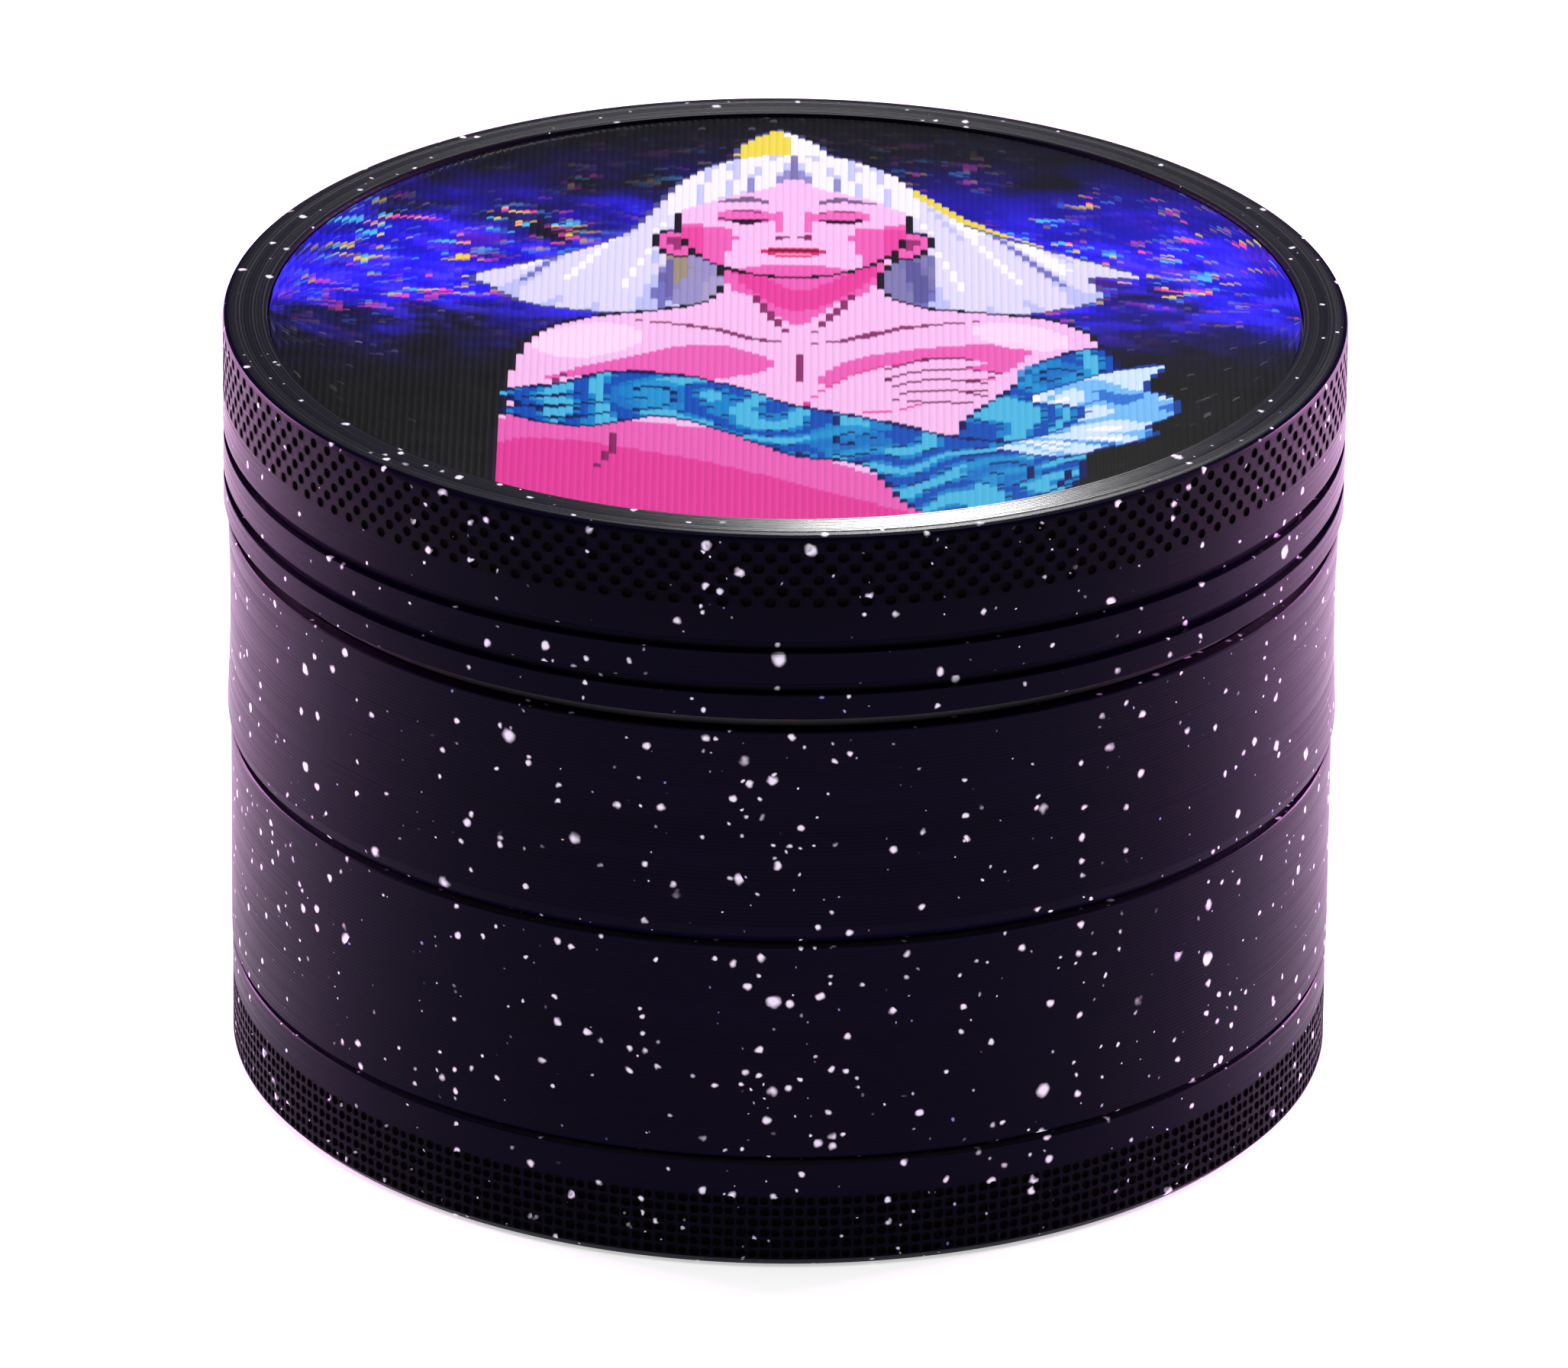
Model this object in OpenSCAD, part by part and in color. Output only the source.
// Four-part herb grinder: a catch tray, a screen chamber and a grinding chamber that screw together,
// and a magnetic lid with a picture disc. +Z is up and the origin is the centre of the base.

/* [Overall] */
// Outside diameter of the lid, the widest piece
lid_d = 63; // [62.6:0.1:64]
// Outside diameter of the grinding chamber at its rim
chamber_d = 62.5; // [62.2:0.1:62.8]
// Outside diameter of the screen chamber
screen_d = 62.2; // [62:0.1:62.5]
// Outside diameter of the catch tray
tray_d = 62.1; // [61.9:0.1:62.5]

/* [Heights] */
// Height of the catch tray
tray_h = 6.4; // [6.4:0.1:12]
// Height of the screen chamber without its thread
screen_h = 12.9; // [12.5:0.1:20]
// Height of the grinding chamber without its thread
chamber_h = 12.7; // [12:0.1:13.5]
// Height of the lid without its spigot
lid_h = 10.9; // [10.9:0.1:12]
// Hairline between two screwed pieces
seam_gap = 0.3; // [0.2:0.05:0.4]
// Shadow gap between the lid and the grinding chamber
lid_gap = 0.9; // [0.85:0.05:1.1]

/* [Threads] */
// Rise of the thread in one turn
pitch = 1.6; // [1.5:0.05:1.7]
// Root radius of the male thread
male_root_r = 28.5; // [28.4:0.05:28.6]
// How far a thread ridge stands out of its wall
thread_depth = 0.75; // [0.6:0.05:0.8]
// Radial play between the crest of one thread and the root of the other
thread_play = 0.2; // [0.15:0.05:0.25]
// Length of the threaded skirt below the shoulder
skirt_h = 3.95; // [3.8:0.05:4]
// Inside radius of the threaded skirt
skirt_in_r = 26.9; // [26.5:0.1:27.2]

/* [Lid] */
// Thickness of the lid plate under the picture disc
plate_t = 4.2; // [3:0.1:4.5]
// Depth of the recess for the picture disc
recess_h = 1; // [0.9:0.05:1.2]
// Radius of the recess for the picture disc
recess_r = 29; // [28:0.1:29.5]
// Height of the upper groove above the lid's lower edge
upper_groove_z = 4.25; // [3.4:0.05:6]
// Height of the lower groove above the lid's lower edge
lower_groove_z = 1.75; // [1:0.05:2.4]
// Width of each groove
lid_groove_w = 0.68; // [0.4:0.02:0.8]
// Depth of each groove
lid_groove_depth = 0.5; // [0.2:0.05:0.8]
// Outside radius of the spigot that reaches into the grinding chamber
spigot_r = 28.4; // [28.2:0.05:28.5]
// Reach of the spigot below the lid's lower edge
spigot_h = 3.3; // [2:0.1:4]

/* [Teeth] */
// Width of a tooth across the path of the other teeth
tooth_w = 2.7; // [2:0.1:2.8]
// Length of a tooth along its ring
tooth_l = 4.4; // [3:0.1:4.8]
// Height of the chamber's teeth
chamber_tooth_h = 7.4; // [5:0.1:7.8]
// Ring radius of the chamber's outer teeth
chamber_outer_r = 24; // [23.4:0.1:24.4]
// Number of the chamber's outer teeth
chamber_outer_n = 14; // [10:1:16]
// Ring radius of the chamber's inner teeth
chamber_inner_r = 16.4; // [16:0.1:16.8]
// Number of the chamber's inner teeth
chamber_inner_n = 8; // [6:1:8]
// Ring radius of the lid's outer teeth
lid_outer_r = 20.2; // [20:0.1:20.4]
// Number of the lid's outer teeth
lid_outer_n = 12; // [8:1:12]
// Ring radius of the lid's inner teeth
lid_inner_r = 12.4; // [11.8:0.1:12.8]
// Number of the lid's inner teeth
lid_inner_n = 6; // [4:1:6]
// Space between the lid's teeth and the chamber's floor
tooth_floor_gap = 1.4; // [1:0.1:3]

/* [Chamber floor] */
// Thickness of the perforated floor
floor_t = 3; // [2:0.1:3.4]
// Diameter of the drop holes between the outer teeth
outer_hole_d = 3.2; // [2.4:0.1:3.2]
// Diameter of the drop holes in the middle and inner rings
hole_d = 3.6; // [2.4:0.1:3.6]
// Number of drop holes in the middle ring
middle_hole_n = 16; // [10:1:16]
// Number of drop holes in the inner ring
inner_hole_n = 10; // [6:1:10]
// Outside radius of the magnet posts
boss_r = 6.2; // [5.8:0.1:7]

/* [Magnets] */
// Radius of each disc magnet
magnet_r = 4.75; // [4:0.05:5]
// Thickness of each disc magnet
magnet_t = 3; // [2:0.1:3.2]

/* [Screen] */
// Opening radius of the screen seat
screen_open_r = 25.6; // [24:0.1:26]
// Radius of the bowl above the screen
bowl_r = 27.4; // [27.2:0.1:27.6]

/* [Hidden] */
$fn = 96;

// Places of the pieces along Z, from the base up
screen_z = tray_h + seam_gap;
chamber_z = screen_z + screen_h + seam_gap;
chamber_top_z = chamber_z + chamber_h;
lid_z = chamber_top_z + lid_gap;
lid_top_z = lid_z + lid_h;

// Thread sizes that follow from the driving ones
male_crest_r = male_root_r + thread_depth;
female_root_r = male_crest_r + thread_play;
female_crest_r = female_root_r - thread_depth;
ridge_base_w = 1;
ridge_crest_w = 0.36;
ridge_embed = 0.3;      // how deep a ridge is rooted in its wall
ridge_margin = 0.1;     // plain wall between a ridge and the end of its skirt
ridge_steps = 48;       // sections in one turn
neck_h = 0.55;          // plain neck between shoulder and thread
mouth_r = female_root_r + 0.15;
mouth_h = 0.5;
thread_room = 4;        // depth of the female thread below the mouth's edge

// Washer that sits in a recess of the shoulder above each male thread
washer_in_r = male_crest_r + 0.06;
washer_out_r = 30.4;
washer_t = 0.6;
washer_recess_r = 30.5;
washer_recess_h = 0.43;
washer_lift = 0.08;     // clearance over the face below

// Tray
edge_c = 0.15;          // fine chamfer on every seam edge
tray_foot_c = 0.5;
tray_floor_t = 1.2;
tray_bowl_r = 26.6;
tray_ledge_z = tray_h - thread_room;

// Screen stack, from its seat up
seat_z = screen_z + 0.9;
gasket_t = 0.4;
mesh_t = 0.15;
hoop_t = 0.45;
snap_t = 0.45;
snap_play = 0.05;
screen_r = bowl_r - 0.1;
gasket_z = seat_z;
mesh_z = gasket_z + gasket_t;
hoop_z = mesh_z + mesh_t;
snap_z = hoop_z + hoop_t + snap_play;
snap_groove_r = bowl_r + 0.5;

// Grinding chamber
chamber_r = chamber_d / 2;
waist_in = 0.15;        // how far the side draws in at its waist
chamber_foot_c = 0.45;
chamber_foot_out = 0.05;
cavity_r = 29;
floor_under_z = chamber_z + 1.7;
floor_top_z = floor_under_z + floor_t;
inner_fillet = 1;
chamber_boss_h = 3.7;
boss_c = 0.3;           // chamfer on the end of both magnet posts
chamber_boss_z = floor_top_z + chamber_boss_h;
seal_t = 0.25;

// Crown of every tooth
crown_c = 0.3;
crown_share = 0.8;

// Lid
lid_r = lid_d / 2;
lid_top_c = 0.3;
lid_face_c = 0.45;
plate_z = lid_top_z - recess_h - plate_t;
flange_z = chamber_top_z + 0.55;
flange_r = 30.6;
lid_boss_z = chamber_boss_z + 0.7;
lid_tooth_z = floor_top_z + tooth_floor_gap;

// Glide ring
ring_play = 0.07;
ring_flange_r = 30.4;
ring_flange_t = 0.45;
ring_lift = 0.05;
ring_sleeve_h = spigot_h - lid_gap + 0.2;

// Label sheets
label_r = recess_r - 0.12;
adhesive_t = 0.1;
print_t = 0.1;
lens_t = 0.55;
label_z = lid_top_z - recess_h;

// A right-handed helical ridge with tapered ends, rooted at root_r and standing out to crest_r.
// It starts at angle first_a, on the helix that passes through zero_z at angle 0.
module thread_ridge(root_r, crest_r, zero_z, first_a, turns) {
    outward = crest_r > root_r ? 1 : -1;
    wall_r = root_r - outward * ridge_embed;
    last = round(ridge_steps * turns);
    run_out = 6;
    function rise(i) = min(1, i / run_out, (last - i) / run_out);
    function crest_at(i) = root_r + (crest_r - root_r) * max(0.05, rise(i));
    function angle(i) = first_a + 360 * i / ridge_steps;
    function at(r, i, up) = [r * cos(angle(i)), r * sin(angle(i)), zero_z + pitch * angle(i) / 360 + up];
    root_w = ridge_base_w + (ridge_base_w - ridge_crest_w) * ridge_embed / thread_depth;
    points = [
        for (i = [0:last])
            for (corner = [[wall_r, -root_w], [crest_at(i), -ridge_crest_w], [crest_at(i), ridge_crest_w], [wall_r, root_w]])
                at(corner[0], i, corner[1] / 2)
    ];
    // Each side quad is split in two so that every face is flat
    sides = [
        for (i = [0:last - 1])
            for (k = [0:3])
                let (a = 4 * i + k, b = 4 * i + (k + 1) % 4)
                    for (face = [[a, b, b + 4], [a, b + 4, a + 4]])
                        face
    ];
    caps = [[3, 2, 1, 0], [for (k = [0:3]) 4 * last + k]];
    faces = concat(sides, caps);
    polyhedron(points, outward > 0 ? faces : [for (f = faces) [for (k = [len(f) - 1:-1:0]) f[k]]]);
}

// Ridge on the outside of a skirt whose shoulder is at shoulder_z.
module male_ridge(shoulder_z) {
    turns = (skirt_h - neck_h - ridge_base_w - ridge_margin) / pitch;
    thread_ridge(male_root_r, male_crest_r, shoulder_z - skirt_h + ridge_base_w / 2 + ridge_margin, 0, turns);
}

// Ridge inside a mouth whose edge is at mouth_z. It runs half a pitch below the male ridge.
module female_ridge(mouth_z) {
    male_zero = mouth_z + seam_gap - skirt_h + ridge_base_w / 2 + ridge_margin;
    zero_z = male_zero - pitch / 2;
    first_a = 90;
    last_z = mouth_z - mouth_h - ridge_base_w / 2;
    turns = (last_z - zero_z) / pitch - first_a / 360;
    thread_ridge(female_root_r, female_crest_r, zero_z, first_a, turns);
}

// Flat ring between two radii.
module flat_ring(in_r, out_r, z, t) {
    translate([0, 0, z])
        difference() {
            cylinder(r = out_r, h = t);
            translate([0, 0, -1])
                cylinder(r = in_r, h = t + 2);
        }
}

// Diamond-section teeth evenly spaced on a ring, from root_z to a chamfered crown at crown_z.
module tooth_ring(ring_r, count, root_z, crown_z, turn = 0) {
    up = crown_z > root_z ? 1 : -1;
    levels = [[root_z, 1], [crown_z - up * crown_c, 1], [crown_z, crown_share]];
    corners = [[tooth_w / 2, 0], [0, tooth_l / 2], [-tooth_w / 2, 0], [0, -tooth_l / 2]];
    points = [for (level = levels) for (p = corners) [p[0] * level[1], p[1] * level[1], level[0]]];
    sides = [for (row = [0, 4]) for (k = [0:3]) [row + k, row + k + 4, row + (k + 1) % 4 + 4, row + (k + 1) % 4]];
    faces = concat(sides, [[0, 1, 2, 3], [11, 10, 9, 8]]);
    for (i = [0:count - 1])
        rotate([0, 0, turn + 360 * i / count])
            translate([ring_r, 0, 0])
                polyhedron(points, up > 0 ? faces : [for (f = faces) [for (k = [3:-1:0]) f[k]]]);
}

// Post on a wall at root_z, with a pocket for a magnet and its seal in its end at end_z.
module magnet_post(root_z, end_z) {
    up = end_z > root_z ? 1 : -1;
    pocket_z = end_z - up * (magnet_t + seal_t);
    rotate_extrude()
        polygon([
            [0, root_z], [boss_r, root_z], [boss_r, end_z - up * boss_c], [boss_r - boss_c, end_z],
            [magnet_r, end_z], [magnet_r, pocket_z], [0, pocket_z]
        ]);
}

// Drop holes evenly spaced on a ring, each at half a step from the X axis.
module hole_ring(ring_r, count, d) {
    for (i = [0:count - 1])
        rotate([0, 0, 360 * (i + 0.5) / count])
            translate([ring_r, 0, floor_under_z - 1])
                cylinder(d = d, h = floor_t + 2);
}

// Points of a quarter arc in the section plane, from angle a0 to a1.
function arc(centre, r, a0, a1, steps = 6) = [
    for (i = [0:steps])
        let (a = a0 + (a1 - a0) * i / steps)
            centre + r * [cos(a), sin(a)]
];

// Half section of a skirt with its shoulder, neck and washer recess, from the bore outwards.
function skirt_points(shoulder_z) = [
    [skirt_in_r, shoulder_z - skirt_h + 0.2],
    [skirt_in_r + 0.2, shoulder_z - skirt_h],
    [male_root_r - 0.2, shoulder_z - skirt_h],
    [male_root_r, shoulder_z - skirt_h + 0.2],
    [male_root_r, shoulder_z - neck_h],
    [male_crest_r, shoulder_z - neck_h],
    [male_crest_r, shoulder_z + washer_recess_h],
    [washer_recess_r, shoulder_z + washer_recess_h],
    [washer_recess_r, shoulder_z]
];

// Half section of a female mouth, from its edge down to the thread relief's floor.
function mouth_points(mouth_z, out_r) = [
    [out_r, mouth_z - edge_c],
    [out_r - edge_c, mouth_z],
    [mouth_r, mouth_z],
    [mouth_r, mouth_z - mouth_h],
    [female_root_r, mouth_z - mouth_h],
    [female_root_r, mouth_z - thread_room]
];

module catch_tray() {
    color([0.13, 0.12, 0.17]) {
        rotate_extrude()
            polygon(concat(
                [[0, 0], [tray_d / 2 - tray_foot_c, 0], [tray_d / 2, tray_foot_c]],
                mouth_points(tray_h, tray_d / 2),
                [[tray_bowl_r, tray_ledge_z]],
                arc([tray_bowl_r - 1.2, tray_floor_t + 1.2], 1.2, 0, -90),
                [[0, tray_floor_t]]
            ));
        female_ridge(tray_h);
    }
}

module thread_washer(shoulder_z) {
    flat_ring(washer_in_r, washer_out_r, shoulder_z - seam_gap + washer_lift, washer_t);
}

module lower_thread_washer() {
    color([0.9, 0.9, 0.88])
        thread_washer(screen_z);
}

module upper_thread_washer() {
    color([0.9, 0.9, 0.88])
        thread_washer(chamber_z);
}

module screen_chamber() {
    r = screen_d / 2;
    top_z = screen_z + screen_h;
    relief_z = top_z - thread_room;
    color([0.13, 0.12, 0.17]) {
        rotate_extrude()
            polygon(concat(
                skirt_points(screen_z),
                [[r - edge_c, screen_z], [r, screen_z + edge_c]],
                mouth_points(top_z, r),
                [[bowl_r + 0.3, relief_z], [bowl_r, relief_z - 0.3]],
                [[bowl_r, snap_z + snap_t + snap_play], [snap_groove_r, snap_z + snap_t + snap_play]],
                [[snap_groove_r, snap_z - snap_play], [bowl_r, snap_z - snap_play]],
                [[bowl_r, seat_z], [screen_open_r, seat_z], [screen_open_r, screen_z - 0.2]],
                [[skirt_in_r, screen_z - 1.5]]
            ));
        male_ridge(screen_z);
        female_ridge(top_z);
    }
}

module screen_gasket() {
    color([0.2, 0.2, 0.2])
        flat_ring(screen_open_r + 0.2, screen_r, gasket_z, gasket_t);
}

module mesh_screen() {
    color([0.75, 0.76, 0.78])
        translate([0, 0, mesh_z])
            cylinder(r = screen_r, h = mesh_t);
}

module screen_hoop() {
    color([0.7, 0.71, 0.73])
        flat_ring(screen_r - 1.1, screen_r, hoop_z, hoop_t);
}

module screen_snap_ring() {
    split = 14;
    color([0.6, 0.61, 0.63])
        translate([0, 0, snap_z])
            rotate([0, 0, split / 2])
                rotate_extrude(angle = 360 - split)
                    translate([bowl_r - 0.9, 0])
                        square([1.35, snap_t]);
}

// Side of the grinding chamber: a shallow waist between its rim and its foot.
function waist_points(steps = 8) = [
    for (i = [0:steps])
        let (t = i / steps)
            [
                chamber_r + chamber_foot_out * (1 - t) - waist_in * sin(180 * t),
                chamber_z + chamber_foot_c + 0.5 + t * (chamber_h - chamber_foot_c - 0.5 - edge_c)
            ]
];

module grinding_chamber() {
    color([0.13, 0.12, 0.17]) {
        difference() {
            rotate_extrude()
                polygon(concat(
                    skirt_points(chamber_z),
                    [[chamber_r - chamber_foot_c + 0.1, chamber_z], [chamber_r, chamber_z + chamber_foot_c]],
                    waist_points(),
                    [[chamber_r - edge_c, chamber_top_z], [cavity_r, chamber_top_z]],
                    arc([cavity_r - inner_fillet, floor_top_z + inner_fillet], inner_fillet, 0, -90),
                    [[0, floor_top_z], [0, floor_under_z]],
                    arc([skirt_in_r - inner_fillet, floor_under_z - inner_fillet], inner_fillet, 90, 0)
                ));
            hole_ring(chamber_outer_r + 0.2, chamber_outer_n, outer_hole_d);
            hole_ring(lid_outer_r, middle_hole_n, hole_d);
            hole_ring(lid_inner_r - 0.2, inner_hole_n, hole_d);
        }
        male_ridge(chamber_z);
    }
}

module chamber_outer_teeth() {
    color([0.13, 0.12, 0.17])
        tooth_ring(chamber_outer_r, chamber_outer_n, floor_top_z, floor_top_z + chamber_tooth_h);
}

module chamber_inner_teeth() {
    color([0.13, 0.12, 0.17])
        tooth_ring(chamber_inner_r, chamber_inner_n, floor_top_z, floor_top_z + chamber_tooth_h);
}

module chamber_post() {
    color([0.13, 0.12, 0.17])
        magnet_post(floor_top_z, chamber_boss_z);
}

module chamber_magnet() {
    color([0.72, 0.72, 0.74])
        translate([0, 0, chamber_boss_z - magnet_t - seal_t])
            cylinder(r = magnet_r, h = magnet_t);
}

module chamber_magnet_seal() {
    color([0.05, 0.05, 0.05])
        translate([0, 0, chamber_boss_z - seal_t])
            cylinder(r = magnet_r, h = seal_t);
}

module glide_ring() {
    color([0.92, 0.92, 0.9])
        rotate_extrude()
            polygon([
                [spigot_r + ring_play, chamber_top_z - ring_sleeve_h],
                [cavity_r - ring_play, chamber_top_z - ring_sleeve_h],
                [cavity_r - ring_play, chamber_top_z + ring_lift],
                [ring_flange_r, chamber_top_z + ring_lift],
                [ring_flange_r, chamber_top_z + ring_lift + ring_flange_t],
                [spigot_r + ring_play, chamber_top_z + ring_lift + ring_flange_t]
            ]);
}

// Square notch in the side of the lid.
function groove_points(z) = [
    [lid_r, z - lid_groove_w / 2],
    [lid_r - lid_groove_depth, z - lid_groove_w / 2],
    [lid_r - lid_groove_depth, z + lid_groove_w / 2],
    [lid_r, z + lid_groove_w / 2]
];

module lid_shell() {
    spigot_z = lid_z - spigot_h;
    color([0.13, 0.12, 0.17])
        rotate_extrude()
            polygon(concat(
                [[0, plate_z]],
                arc([skirt_in_r - inner_fillet, plate_z - inner_fillet], inner_fillet, 90, 0),
                [[skirt_in_r, spigot_z], [spigot_r, spigot_z], [spigot_r, flange_z]],
                [[flange_r, flange_z], [flange_r, lid_z], [lid_r - edge_c, lid_z], [lid_r, lid_z + edge_c]],
                groove_points(lid_z + lower_groove_z),
                groove_points(lid_z + upper_groove_z),
                [[lid_r, lid_top_z - lid_top_c], [lid_r - lid_face_c, lid_top_z]],
                [[recess_r, lid_top_z], [recess_r, label_z], [0, label_z]]
            ));
}

module lid_outer_teeth() {
    color([0.13, 0.12, 0.17])
        tooth_ring(lid_outer_r, lid_outer_n, plate_z, lid_tooth_z, 180 / lid_outer_n);
}

module lid_inner_teeth() {
    color([0.13, 0.12, 0.17])
        tooth_ring(lid_inner_r, lid_inner_n, plate_z, lid_tooth_z, 180 / lid_inner_n);
}

module lid_post() {
    color([0.13, 0.12, 0.17])
        magnet_post(plate_z, lid_boss_z);
}

module lid_magnet() {
    color([0.72, 0.72, 0.74])
        translate([0, 0, lid_boss_z + seal_t])
            cylinder(r = magnet_r, h = magnet_t);
}

module lid_magnet_seal() {
    color([0.05, 0.05, 0.05])
        translate([0, 0, lid_boss_z])
            cylinder(r = magnet_r, h = seal_t);
}

module label_adhesive() {
    color([0.85, 0.85, 0.8])
        translate([0, 0, label_z])
            cylinder(r = label_r - 0.1, h = adhesive_t);
}

module label_print() {
    color([0.35, 0.35, 0.55])
        translate([0, 0, label_z + adhesive_t])
            cylinder(r = label_r, h = print_t);
}

module label_lens() {
    color([0.45, 0.48, 0.6])
        translate([0, 0, label_z + adhesive_t + print_t])
            cylinder(r = label_r, h = lens_t);
}

catch_tray();
lower_thread_washer();
screen_chamber();
screen_gasket();
mesh_screen();
screen_hoop();
screen_snap_ring();
upper_thread_washer();
grinding_chamber();
chamber_outer_teeth();
chamber_inner_teeth();
chamber_post();
chamber_magnet();
chamber_magnet_seal();
glide_ring();
lid_shell();
lid_outer_teeth();
lid_inner_teeth();
lid_post();
lid_magnet();
lid_magnet_seal();
label_adhesive();
label_print();
label_lens();
